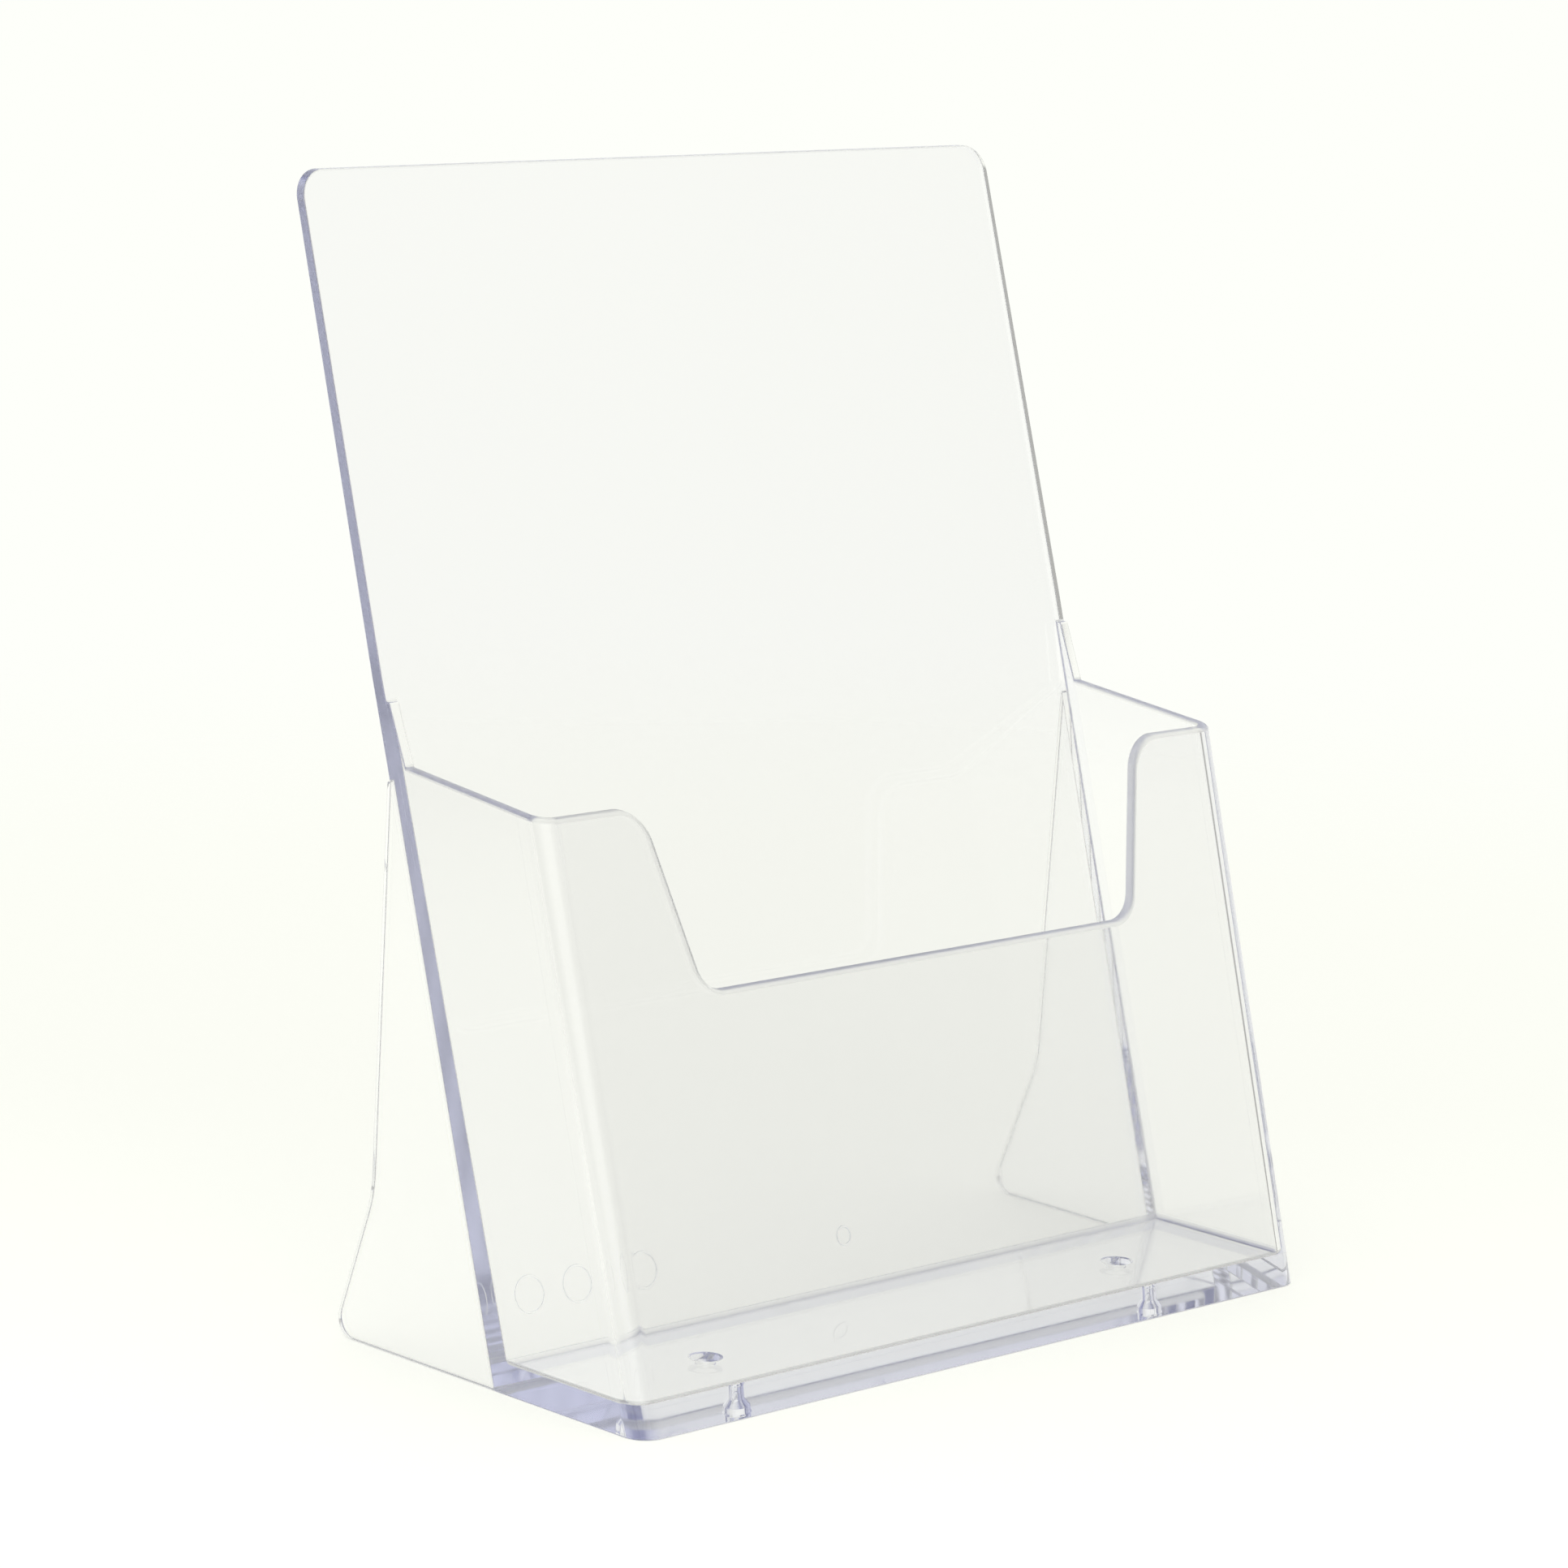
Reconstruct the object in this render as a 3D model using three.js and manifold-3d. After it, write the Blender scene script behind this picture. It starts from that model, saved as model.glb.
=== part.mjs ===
// Countertop magazine rack for A5 leaflets: a clear polystyrene moulding with one pocket.
//
// Millimetres, +Z up, +Y towards the back, +X to the right as seen from the front. The rack stands on
// z = 0 and the origin is the centre of its box on the surface it stands on.
//
// The outlines are drawn in the pocket's own frame, where y = 0 is the line along which the back panel's
// front face meets the surface below. The last lines move the whole rack so that its box is centred.

import * as THREE from 'three';
import { mergeVertices } from 'three/addons/utils/BufferGeometryUtils.js';
import Module from 'manifold-3d';

const wasm = await Module();
wasm.setup();

// ---------------------------------------------------------------- driving dimensions

// Overall
const OVERALL_HEIGHT = 199;
const BASE_WIDTH = 160;
const SHOULDER_WIDTH = 162.8;
const TOP_WIDTH = 162;
const SHOULDER_HEIGHT = 117;
const JOINT_GAP = 0.2;

// Back panel: it leans back, and is thinner towards the top
const PANEL_LEAN = THREE.MathUtils.degToRad(16.5);
const PANEL_DEPTH_AT_BASE = 4.5;
const PANEL_DEPTH_AT_RIM = 2.8;
const PANEL_DEPTH_AT_TOP = 2.1;
const PANEL_CORNER_RADIUS = 5;

// Pocket: its front leans a little less than the back panel, so it widens upwards
const FRONT_LEAN = THREE.MathUtils.degToRad(15.5);
const POCKET_DEPTH = 33.9;
const WALL_THICKNESS = 2.1;
const FLOOR_THICKNESS = 4.9;
const POCKET_CORNER_RADIUS = 4.5;
// The front wall turns the corners and meets the side walls this far back
const FRONT_WALL_RETURN = 6;
const RIM_HEIGHT_AT_BACK = 102.4;
const RIM_HEIGHT_AT_FRONT = 98.4;

// Thumb cut-out in the front wall
const CUTOUT_BOTTOM_HEIGHT = 68.5;
const CUTOUT_HALF_WIDTH_AT_BOTTOM = 51.2;
const CUTOUT_HALF_WIDTH_AT_RIM = 59.1;
const CUTOUT_BOTTOM_RADIUS = 5.5;
const CUTOUT_TOP_RADIUS = 7.5;
// Its rounded edge rises above the rim by this much, so that it leaves the rim cleanly
const CUTOUT_RUN_OUT = 0.05;

// Shoulder gussets, standing on the back end of each side wall's rim
const GUSSET_HEIGHT = 9.8;
const GUSSET_REACH_AT_RIM = 2.2;
const GUSSET_REACH_AT_TOP = 0.9;
const GUSSET_TIP_RADIUS = 0.5;

// Prop legs behind the back panel
const LEG_THICKNESS = 2;
const LEG_TOP_HEIGHT = 99;
const LEG_TOP_REACH = 0.7;
const LEG_KNEE_HEIGHT = 27;
const LEG_KNEE_BACK = 36.2;
const LEG_KNEE_RADIUS = 24;
const LEG_HEEL_BACK = 46.6;
const LEG_HEEL_RADIUS = 3.6;

// Screw holes in the floor, countersunk from above
const SCREW_SPACING = 100;
const SCREW_FROM_PANEL = 15;
const SCREW_BORE_RADIUS = 1.6;
const SCREW_HEAD_RADIUS = 2.75;
const SCREW_HEAD_RIM_DEPTH = 1.2;

// Round marks moulded on the back panel's front face
const MARK_HEIGHT = 15;
const MARK_RADIUS = 3.3;
const MARK_POSITIONS_X = [-70.4, -59.8, -47];
const GATE_HEIGHT = 13.5;
const GATE_RADIUS = 1.8;
const MARK_LINE_WIDTH = 0.45;
const MARK_RELIEF = 0.25;

const ARC_SEGMENTS = 8;
const HOLE_SEGMENTS = 24;
// Longer than anything that a cutting solid has to pass right through
const THROUGH_LENGTH = 400;
// How far a cutting solid stands out past the faces that it cuts through
const CUT_MARGIN = 1;
const MERGE_TOLERANCE = 1e-4;

// ---------------------------------------------------------------- the form that all walls share

/** How far the back panel's front face is behind y = 0 at height z. */
const panelFrontY = (z) => z * Math.tan(PANEL_LEAN);

/** The back panel's thickness, measured level, at height z. */
function panelDepth(z) {
  if (z < RIM_HEIGHT_AT_BACK) {
    return THREE.MathUtils.mapLinear(z, 0, RIM_HEIGHT_AT_BACK, PANEL_DEPTH_AT_BASE, PANEL_DEPTH_AT_RIM);
  }
  return THREE.MathUtils.mapLinear(
    z, RIM_HEIGHT_AT_BACK, OVERALL_HEIGHT, PANEL_DEPTH_AT_RIM, PANEL_DEPTH_AT_TOP);
}

const panelBackY = (z) => panelFrontY(z) + panelDepth(z);

/** The pocket's depth at height z, from the panel's face to the front wall's outer face. */
const pocketDepth = (z) => POCKET_DEPTH + z * (Math.tan(PANEL_LEAN) - Math.tan(FRONT_LEAN));

/** Half the rack's outer width at height z, up to the shoulders. */
const halfWidth = (z) => THREE.MathUtils.mapLinear(z, 0, SHOULDER_HEIGHT, BASE_WIDTH, SHOULDER_WIDTH) / 2;

/** How much further out each side is at height z than at the base. */
const sideFlare = (z) => halfWidth(z) - halfWidth(0);

/** Moves the left and right of an upright solid outwards with height, and returns it. */
function flare(geometry) {
  const position = geometry.attributes.position;
  for (let i = 0; i < position.count; i += 1) {
    const x = position.getX(i);
    position.setX(i, x + Math.sign(x) * sideFlare(position.getZ(i)));
  }
  return geometry;
}

/** Leans an upright solid raised on the pocket's footprint, and returns it. Walls keep their thickness. */
function leanWithPocket(geometry) {
  const position = geometry.attributes.position;
  for (let i = 0; i < position.count; i += 1) {
    const y = position.getY(i);
    const z = position.getZ(i);
    const isFront = y < -POCKET_DEPTH / 2;
    position.setY(i, y + panelFrontY(z) - (isFront ? pocketDepth(z) - POCKET_DEPTH : 0));
  }
  return flare(geometry);
}

// ---------------------------------------------------------------- outlines and solids

/** A closed outline through corners [x, y, radius]; a corner with a radius is rounded with an arc. */
function roundedOutline(corners) {
  const shape = new THREE.Shape();
  corners.forEach(([x, y, radius = 0], i) => {
    const corner = new THREE.Vector2(x, y);
    if (radius === 0) {
      if (i === 0) shape.moveTo(x, y);
      else shape.lineTo(x, y);
      return;
    }
    const before = corners[(i + corners.length - 1) % corners.length];
    const after = corners[(i + 1) % corners.length];
    const backward = new THREE.Vector2(before[0] - x, before[1] - y).normalize();
    const forward = new THREE.Vector2(after[0] - x, after[1] - y).normalize();
    const halfAngle = Math.acos(backward.dot(forward)) / 2;
    const towardsCentre = backward.clone().add(forward).normalize();
    const centre = corner.clone().addScaledVector(towardsCentre, radius / Math.sin(halfAngle));
    const start = corner.clone().addScaledVector(backward, radius / Math.tan(halfAngle));
    const end = corner.clone().addScaledVector(forward, radius / Math.tan(halfAngle));
    const startAngle = Math.atan2(start.y - centre.y, start.x - centre.x);
    const endAngle = Math.atan2(end.y - centre.y, end.x - centre.x);
    const clockwise = backward.cross(forward) > 0;
    if (i === 0) shape.moveTo(start.x, start.y);
    else shape.lineTo(start.x, start.y);
    shape.absarc(centre.x, centre.y, radius, startAngle, endAngle, clockwise);
  });
  shape.closePath();
  return shape;
}

/** Raises an outline in x and y from height bottom to height top. */
function raise(shape, bottom, top) {
  const geometry = new THREE.ExtrudeGeometry(
    shape, { depth: top - bottom, bevelEnabled: false, curveSegments: ARC_SEGMENTS });
  return geometry.translate(0, 0, bottom);
}

/** A side-view outline in y and z, thickened along x from left to right. */
function extrudeSideView(shape, left, right) {
  const geometry = new THREE.ExtrudeGeometry(
    shape, { depth: right - left, bevelEnabled: false, curveSegments: ARC_SEGMENTS });
  const axes = new THREE.Matrix4().makeBasis(
    new THREE.Vector3(0, 1, 0), new THREE.Vector3(0, 0, 1), new THREE.Vector3(1, 0, 0));
  return geometry.applyMatrix4(axes).translate(left, 0, 0);
}

/** A front-view outline in x and z, long enough along y to pass through everything. */
function extrudeFrontView(shape) {
  const geometry = new THREE.ExtrudeGeometry(
    shape, { depth: THROUGH_LENGTH, bevelEnabled: false, curveSegments: ARC_SEGMENTS });
  return geometry.rotateX(Math.PI / 2).translate(0, THROUGH_LENGTH / 2, 0);
}

/** A three.js geometry as a solid that can be joined or cut. */
function solid(geometry) {
  const bare = geometry.clone();
  bare.deleteAttribute('normal');
  bare.deleteAttribute('uv');
  const merged = mergeVertices(bare, MERGE_TOLERANCE);
  return new wasm.Manifold(new wasm.Mesh({
    numProp: 3,
    vertProperties: merged.attributes.position.array,
    triVerts: merged.index.array,
  }));
}

/** A joined or cut solid as a three.js geometry. */
function geometryOf(manifold) {
  const mesh = manifold.getMesh();
  const geometry = new THREE.BufferGeometry();
  geometry.setAttribute('position', new THREE.BufferAttribute(mesh.vertProperties, mesh.numProp));
  geometry.setIndex(new THREE.BufferAttribute(mesh.triVerts, 1));
  geometry.computeVertexNormals();
  return geometry;
}

/** The same outline on the other side of the rack: x mirrored. */
const mirroredCorners = (corners) => corners.map(([x, y, radius]) => [-x, y, radius]).reverse();

// ---------------------------------------------------------------- sub-parts

function backPanelGeometry() {
  const sideView = roundedOutline([
    [panelFrontY(0), 0],
    [panelBackY(0), 0],
    [panelBackY(RIM_HEIGHT_AT_BACK), RIM_HEIGHT_AT_BACK],
    [panelBackY(OVERALL_HEIGHT), OVERALL_HEIGHT],
    [panelFrontY(OVERALL_HEIGHT), OVERALL_HEIGHT],
  ]);
  const rightEdge = [
    [BASE_WIDTH / 2, 0],
    [SHOULDER_WIDTH / 2, SHOULDER_HEIGHT],
    [TOP_WIDTH / 2, OVERALL_HEIGHT, PANEL_CORNER_RADIUS],
  ];
  const frontView = roundedOutline([...rightEdge, ...mirroredCorners(rightEdge)]);
  const slab = solid(extrudeSideView(sideView, -THROUGH_LENGTH / 2, THROUGH_LENGTH / 2));
  return geometryOf(slab.intersect(solid(extrudeFrontView(frontView))));
}

/** The space of one screw hole, upright on the origin: a bore, a cone and the screw head's rim. */
function screwHoleCutter() {
  const headBottom = FLOOR_THICKNESS - SCREW_HEAD_RIM_DEPTH;
  const coneBottom = headBottom - (SCREW_HEAD_RADIUS - SCREW_BORE_RADIUS);
  const profile = [
    new THREE.Vector2(0, -CUT_MARGIN),
    new THREE.Vector2(SCREW_BORE_RADIUS, -CUT_MARGIN),
    new THREE.Vector2(SCREW_BORE_RADIUS, coneBottom),
    new THREE.Vector2(SCREW_HEAD_RADIUS, headBottom),
    new THREE.Vector2(SCREW_HEAD_RADIUS, FLOOR_THICKNESS + CUT_MARGIN),
    new THREE.Vector2(0, FLOOR_THICKNESS + CUT_MARGIN),
  ];
  return new THREE.LatheGeometry(profile, HOLE_SEGMENTS).rotateX(Math.PI / 2);
}

function pocketFloorGeometry() {
  const rightSide = [
    [BASE_WIDTH / 2, -POCKET_DEPTH, POCKET_CORNER_RADIUS],
    [BASE_WIDTH / 2, -JOINT_GAP],
  ];
  const footprint = roundedOutline([...rightSide, ...mirroredCorners(rightSide)]);
  let slab = solid(leanWithPocket(raise(footprint, 0, FLOOR_THICKNESS)));
  for (const side of [-1, 1]) {
    const cutter = screwHoleCutter().translate(side * SCREW_SPACING / 2, -SCREW_FROM_PANEL, 0);
    slab = slab.subtract(solid(cutter));
  }
  return geometryOf(slab);
}

// The pocket's rim slopes down from the back panel to the front wall's outer face
const RIM_BACK_Y = panelFrontY(RIM_HEIGHT_AT_BACK);
const RIM_FRONT_Y = panelFrontY(RIM_HEIGHT_AT_FRONT) - pocketDepth(RIM_HEIGHT_AT_FRONT);
const RIM_SLOPE = (RIM_HEIGHT_AT_BACK - RIM_HEIGHT_AT_FRONT) / (RIM_BACK_Y - RIM_FRONT_Y);

const rimHeight = (y) => RIM_HEIGHT_AT_FRONT + (y - RIM_FRONT_Y) * RIM_SLOPE;

/** Everything below the rim, as a solid that trims the pocket's walls to their sloping top. */
function belowRim() {
  const reach = THROUGH_LENGTH / 2;
  const sideView = roundedOutline([
    [-reach, -CUT_MARGIN],
    [reach, -CUT_MARGIN],
    [reach, rimHeight(reach)],
    [-reach, rimHeight(-reach)],
  ]);
  return solid(extrudeSideView(sideView, -reach, reach));
}

/** A pocket wall: its footprint raised from the floor slab, leaned, and trimmed to the rim. */
function pocketWall(footprint) {
  const upright = raise(footprint, FLOOR_THICKNESS + JOINT_GAP, OVERALL_HEIGHT);
  return solid(leanWithPocket(upright)).intersect(belowRim());
}

/** The space of the thumb cut-out. It runs back along the rim's slope, so its edge meets the rim squarely. */
function thumbCutout() {
  const edgeX = CUTOUT_HALF_WIDTH_AT_RIM + CUTOUT_TOP_RADIUS;
  const rightHalf = [
    [CUTOUT_HALF_WIDTH_AT_BOTTOM, CUTOUT_BOTTOM_HEIGHT, CUTOUT_BOTTOM_RADIUS],
    [CUTOUT_HALF_WIDTH_AT_RIM, RIM_HEIGHT_AT_FRONT, CUTOUT_TOP_RADIUS],
    [edgeX, RIM_HEIGHT_AT_FRONT + CUTOUT_RUN_OUT],
    [edgeX, OVERALL_HEIGHT],
  ];
  const outline = roundedOutline([...rightHalf, ...mirroredCorners(rightHalf)]);
  const alongRim = new THREE.Matrix4().makeShear(0, 0, 0, RIM_SLOPE, 0, 0);
  const cutter = extrudeFrontView(outline).applyMatrix4(alongRim);
  return solid(cutter.translate(0, 0, -RIM_FRONT_Y * RIM_SLOPE));
}

function frontWallGeometry() {
  const outerX = BASE_WIDTH / 2;
  const innerX = outerX - WALL_THICKNESS;
  const outerY = -POCKET_DEPTH;
  const innerY = outerY + WALL_THICKNESS;
  const returnY = outerY + FRONT_WALL_RETURN;
  const rightHalf = [
    [innerX, innerY, POCKET_CORNER_RADIUS - WALL_THICKNESS],
    [innerX, returnY],
    [outerX, returnY],
    [outerX, outerY, POCKET_CORNER_RADIUS],
  ];
  const footprint = roundedOutline([...rightHalf, ...mirroredCorners(rightHalf)]);
  return geometryOf(pocketWall(footprint).subtract(thumbCutout()));
}

function sideWallGeometry(side) {
  const frontY = -POCKET_DEPTH + FRONT_WALL_RETURN + JOINT_GAP;
  const right = [
    [BASE_WIDTH / 2 - WALL_THICKNESS, frontY],
    [BASE_WIDTH / 2, frontY],
    [BASE_WIDTH / 2, -JOINT_GAP],
    [BASE_WIDTH / 2 - WALL_THICKNESS, -JOINT_GAP],
  ];
  return geometryOf(pocketWall(roundedOutline(side > 0 ? right : mirroredCorners(right))));
}

/** A plate in the side's plane, flush with its outer face, on the side given by the sign of side. */
function flushPlate(sideView, thickness, side) {
  const outer = BASE_WIDTH / 2;
  const left = side > 0 ? outer - thickness : -outer;
  return flare(extrudeSideView(sideView, left, left + thickness));
}

function shoulderGussetGeometry(side) {
  const bottomHeight = RIM_HEIGHT_AT_BACK + JOINT_GAP;
  const topHeight = bottomHeight + GUSSET_HEIGHT;
  const backAtBottom = panelFrontY(bottomHeight) - JOINT_GAP;
  const backAtTop = panelFrontY(topHeight) - JOINT_GAP;
  const sideView = roundedOutline([
    [backAtBottom - GUSSET_REACH_AT_RIM, bottomHeight],
    [backAtBottom, bottomHeight],
    [backAtTop, topHeight],
    [backAtTop - GUSSET_REACH_AT_TOP, topHeight, GUSSET_TIP_RADIUS],
  ]);
  return flushPlate(sideView, WALL_THICKNESS, side);
}

function legGeometry(side) {
  const frontAtTop = panelBackY(LEG_TOP_HEIGHT) + JOINT_GAP;
  const sideView = roundedOutline([
    [panelBackY(0) + JOINT_GAP, 0],
    [LEG_HEEL_BACK, 0, LEG_HEEL_RADIUS],
    [LEG_KNEE_BACK, LEG_KNEE_HEIGHT, LEG_KNEE_RADIUS],
    [frontAtTop + LEG_TOP_REACH, LEG_TOP_HEIGHT],
    [frontAtTop, LEG_TOP_HEIGHT],
  ]);
  return flushPlate(sideView, LEG_THICKNESS, side);
}

/** A low ring standing on a face, with its axis along +Y. */
function ringGeometry(radius) {
  const innerRadius = radius - MARK_LINE_WIDTH;
  const profile = [
    new THREE.Vector2(innerRadius, 0),
    new THREE.Vector2(radius, 0),
    new THREE.Vector2(radius, MARK_RELIEF),
    new THREE.Vector2(innerRadius, MARK_RELIEF),
    new THREE.Vector2(innerRadius, 0),
  ];
  return new THREE.LatheGeometry(profile, HOLE_SEGMENTS);
}

// ---------------------------------------------------------------- assembly

const rack = new THREE.Group();

function addNode(name, geometry) {
  const material = new THREE.MeshStandardMaterial(
    { color: 0xe6e8f4, roughness: 0.06, metalness: 0, transparent: true, opacity: 0.3 });
  const mesh = new THREE.Mesh(geometry, material);
  mesh.name = name;
  rack.add(mesh);
  return mesh;
}

/** Sets a ring on the back panel's front face, just clear of it. */
function addPanelRing(name, radius, x, z) {
  const ring = addNode(name, ringGeometry(radius));
  const outward = new THREE.Vector3(0, -Math.cos(PANEL_LEAN), Math.sin(PANEL_LEAN));
  ring.position.set(x, panelFrontY(z), z).addScaledVector(outward, JOINT_GAP);
  ring.quaternion.setFromUnitVectors(new THREE.Vector3(0, 1, 0), outward);
}

addNode('back_panel', backPanelGeometry());
addNode('pocket_floor', pocketFloorGeometry());
addNode('front_wall', frontWallGeometry());
for (const [name, side] of [['left', -1], ['right', 1]]) {
  addNode(`${name}_side_wall`, sideWallGeometry(side));
  addNode(`${name}_shoulder_gusset`, shoulderGussetGeometry(side));
  addNode(`${name}_leg`, legGeometry(side));
}
addPanelRing('gate_mark', GATE_RADIUS, 0, GATE_HEIGHT);
MARK_POSITIONS_X.forEach((x, i) => addPanelRing(`mould_mark_${i + 1}`, MARK_RADIUS, x, MARK_HEIGHT));

rack.position.y = -(panelBackY(OVERALL_HEIGHT) - POCKET_DEPTH) / 2;

export default rack;
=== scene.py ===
"""A countertop magazine rack for A5 leaflets, moulded in clear polystyrene, in a plain white studio.

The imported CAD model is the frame. The rack is one moulding, so its surface is made once, with the fillets and
rounded edges that a mould leaves, and is then parted along the planes where the CAD pieces meet. Each part
takes the place of one CAD node. Lengths are millimetres until a point is placed, and metres after that.
"""

import math

import bmesh
import bpy
from mathutils import Matrix, Vector


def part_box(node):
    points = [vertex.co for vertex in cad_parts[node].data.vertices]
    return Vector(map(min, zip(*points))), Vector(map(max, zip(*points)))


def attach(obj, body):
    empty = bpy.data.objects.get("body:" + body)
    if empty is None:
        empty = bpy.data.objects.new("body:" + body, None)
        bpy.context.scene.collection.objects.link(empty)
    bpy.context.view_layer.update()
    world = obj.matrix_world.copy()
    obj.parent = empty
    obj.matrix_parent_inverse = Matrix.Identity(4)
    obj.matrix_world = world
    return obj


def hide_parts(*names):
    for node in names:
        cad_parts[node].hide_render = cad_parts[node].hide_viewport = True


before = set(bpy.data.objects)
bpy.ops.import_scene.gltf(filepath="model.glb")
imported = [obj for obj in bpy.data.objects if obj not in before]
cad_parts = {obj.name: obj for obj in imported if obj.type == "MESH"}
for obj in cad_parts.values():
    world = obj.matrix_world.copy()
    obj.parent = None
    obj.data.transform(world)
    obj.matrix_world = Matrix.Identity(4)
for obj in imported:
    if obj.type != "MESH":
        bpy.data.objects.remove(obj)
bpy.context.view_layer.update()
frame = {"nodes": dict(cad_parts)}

MM = 0.001

# ---------------------------------------------------------------- sizes, as in the CAD model


def node_box(node):
    """The CAD node's lowest and highest corner, in millimetres."""
    low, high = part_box(node)
    return Vector(low) / MM, Vector(high) / MM


panel_low, panel_high = node_box("back_panel")
floor_low, floor_high = node_box("pocket_floor")
gusset_high = node_box("left_shoulder_gusset")[1]
leg_high = node_box("left_leg")[1]

# y = 0 of the outlines is the line along which the panel's front face meets the surface below
POCKET_ORIGIN_Y = panel_low.y
HEIGHT = panel_high.z
BASE_WIDTH = 160
SHOULDER_WIDTH = panel_high.x - panel_low.x
TOP_WIDTH = 162
SHOULDER_HEIGHT = 117

PANEL_LEAN = math.radians(16.5)
PANEL_DEPTH_AT_BASE = 4.5
PANEL_DEPTH_AT_RIM = 2.8
PANEL_DEPTH_AT_TOP = 2.1
PANEL_CORNER_RADIUS = 5

FRONT_LEAN = math.radians(15.5)
POCKET_DEPTH = panel_low.y - floor_low.y
WALL_THICKNESS = 2.1
FLOOR_THICKNESS = floor_high.z
POCKET_CORNER_RADIUS = 4.5
FRONT_WALL_RETURN = 6.1
RIM_HEIGHT_AT_BACK = 102.4
RIM_HEIGHT_AT_FRONT = 98.4

CUTOUT_BOTTOM_HEIGHT = 68.5
CUTOUT_HALF_WIDTH_AT_BOTTOM = 51.2
CUTOUT_HALF_WIDTH_AT_RIM = 59.1
CUTOUT_BOTTOM_RADIUS = 5.5
CUTOUT_TOP_RADIUS = 7.5
CUTOUT_RUN_OUT = 0.05

GUSSET_TOP_HEIGHT = gusset_high.z
GUSSET_REACH_AT_RIM = 2.2
GUSSET_REACH_AT_TOP = 0.9
GUSSET_TIP_RADIUS = 0.5

LEG_THICKNESS = 2
LEG_TOP_HEIGHT = leg_high.z
LEG_TOP_REACH = 0.7
LEG_KNEE_HEIGHT = 27
LEG_KNEE_BACK = 36.2
LEG_KNEE_RADIUS = 24
LEG_HEEL_BACK = 46.6
LEG_HEEL_RADIUS = 3.6

SCREW_SPACING = 100
SCREW_FROM_PANEL = 15
SCREW_BORE_RADIUS = 1.6
SCREW_HEAD_RADIUS = 2.75
SCREW_HEAD_RIM_DEPTH = 1.2
SCREW_MOUTH_CHAMFER = 0.2

MARK_NODES = ("gate_mark", "mould_mark_1", "mould_mark_2", "mould_mark_3")
MARK_LINE_WIDTH = 0.4
MARK_RELIEF = 0.09

# ---------------------------------------------------------------- edges, and fineness of the surface

EDGE_RADIUS = 0.25
RIM_EDGE_RADIUS = 0.65
FILLET_RADIUS = 0.4
POCKET_FLOOR_FILLET_RADIUS = 0.9
EDGE_SEGMENTS = 3
# For a quarter turn of an outline, a full turn of a hole or ring, and half a turn over a bead
ARC_SEGMENTS = 24
HOLE_SEGMENTS = 64
BEAD_SEGMENTS = 6
# Faces that meet at more than the first angle meet at an edge, and at less than the second they are one face
SHARP_ANGLE = math.radians(28)
FLAT_ANGLE = math.radians(0.15)
WELD_DISTANCE = 0.002 * MM
SMALLEST_EDGE = 0.0015 * MM
# The Weighted Normal modifier's setting for the most weight on the largest face
LARGE_FACES_FIRST = 100

# Neighbouring pieces part in a cut this thin, which stands this far off the faces that it runs along
JOINT_CUT = 0.01
JOINT_STANDOFF = 0.05
# A cutting solid goes past what it cuts by this margin, or reaches this far where nothing else is in its way
CUT_MARGIN = 1
REACH = 120
# A corner of the moulding is at an edge of its outline when it is this near to it
NEAR = 1
# The fillets inside the pocket are narrower than this
FILLET_ROOM = 1.4

# While the moulding is made, a face's material index says what kind of face it is
POLISHED_INDEX = 0
JOINT_INDEX = 1
DULL_INDEX = 2

# ---------------------------------------------------------------- the form that all walls share


def ramp(value, start, end, at_start, at_end):
    """at_start at start, at_end at end, and on the straight line through them elsewhere."""
    return at_start + (at_end - at_start) * (value - start) / (end - start)


def panel_front(z):
    return z * math.tan(PANEL_LEAN)


def lower_panel_back(z):
    """The panel's back face below the rim, carried on as a plane above it."""
    return panel_front(z) + ramp(z, 0, RIM_HEIGHT_AT_BACK, PANEL_DEPTH_AT_BASE, PANEL_DEPTH_AT_RIM)


def pocket_depth(z):
    return POCKET_DEPTH + z * (math.tan(PANEL_LEAN) - math.tan(FRONT_LEAN))


def half_width(z):
    return ramp(z, 0, SHOULDER_HEIGHT, BASE_WIDTH, SHOULDER_WIDTH) / 2


def pocket_front(z):
    """The front wall's outer face."""
    return panel_front(z) - pocket_depth(z)


RIM_SLOPE = (RIM_HEIGHT_AT_BACK - RIM_HEIGHT_AT_FRONT) / (
    panel_front(RIM_HEIGHT_AT_BACK) - pocket_front(RIM_HEIGHT_AT_FRONT)
)


def rim_height(y):
    return RIM_HEIGHT_AT_FRONT + (y - pocket_front(RIM_HEIGHT_AT_FRONT)) * RIM_SLOPE


# ---------------------------------------------------------------- outlines and solids


def rounded(corners):
    """The points of a closed outline through corners (u, v) or (u, v, radius)."""
    points = []
    for i, corner in enumerate(corners):
        at = Vector(corner[:2])
        if len(corner) == 2:
            points.append(at)
            continue
        radius = corner[2]
        backward = (Vector(corners[i - 1][:2]) - at).normalized()
        forward = (Vector(corners[(i + 1) % len(corners)][:2]) - at).normalized()
        half_angle = math.acos(backward.dot(forward)) / 2
        centre = at + (backward + forward).normalized() * radius / math.sin(half_angle)
        start = at + backward * radius / math.tan(half_angle) - centre
        end = at + forward * radius / math.tan(half_angle) - centre
        turn = start.angle_signed(end)
        steps = max(2, round(ARC_SEGMENTS * abs(turn) / (math.pi / 2)))
        for step in range(steps + 1):
            points.append(centre + Matrix.Rotation(-turn * step / steps, 2) @ start)
    return points


def mirrored(corners):
    """The same corners on the other side of the rack."""
    return [(-corner[0], *corner[1:]) for corner in reversed(corners)]


def both_sides(right_half):
    """A closed outline from its right half, whose corners run from the bottom up or from the front back."""
    return right_half + mirrored(right_half)


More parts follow.
